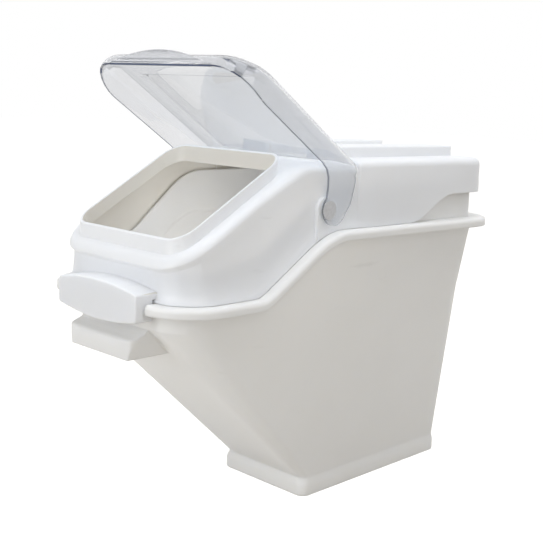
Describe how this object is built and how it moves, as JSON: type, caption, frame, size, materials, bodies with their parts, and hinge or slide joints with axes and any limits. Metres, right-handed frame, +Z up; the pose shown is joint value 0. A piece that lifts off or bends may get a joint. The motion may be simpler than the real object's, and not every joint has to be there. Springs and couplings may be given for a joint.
{
  "type": "dry food storage bin",
  "caption": "Tapered shelf bin for rice and other dry food, with a lift-off hood that slopes to a wide mouth and a clear flip lid hinged on the hood's sides.",
  "frame": {"origin": "on the shelf, under the middle of the bin's overall length and width", "axes": "+Z up, front with the grip towards -Y, width along X, lid hinge line parallel to X"},
  "size_m": [0.286, 0.568, 0.536],
  "materials": {
    "bin_plastic": "satin moulded white",
    "hood_plastic": "satin moulded white",
    "clear_plastic": "clear, polished"
  },
  "bodies": {
    "bin": {"bin_body": "bin_plastic"},
    "hood": {"hood": "hood_plastic"},
    "lid": {"flip_lid": "clear_plastic"}
  },
  "joints": [
    {"name": "hood_lift", "type": "slide", "parent": "bin", "child": "hood", "axis": [0, 0, 1], "range_m": [0, 0.15]},
    {"name": "lid_hinge", "type": "hinge", "parent": "hood", "child": "lid", "pos_m": [0, -0.0625, 0.37], "axis": [1, 0, 0], "range_deg": [0, 61.5]}
  ]
}
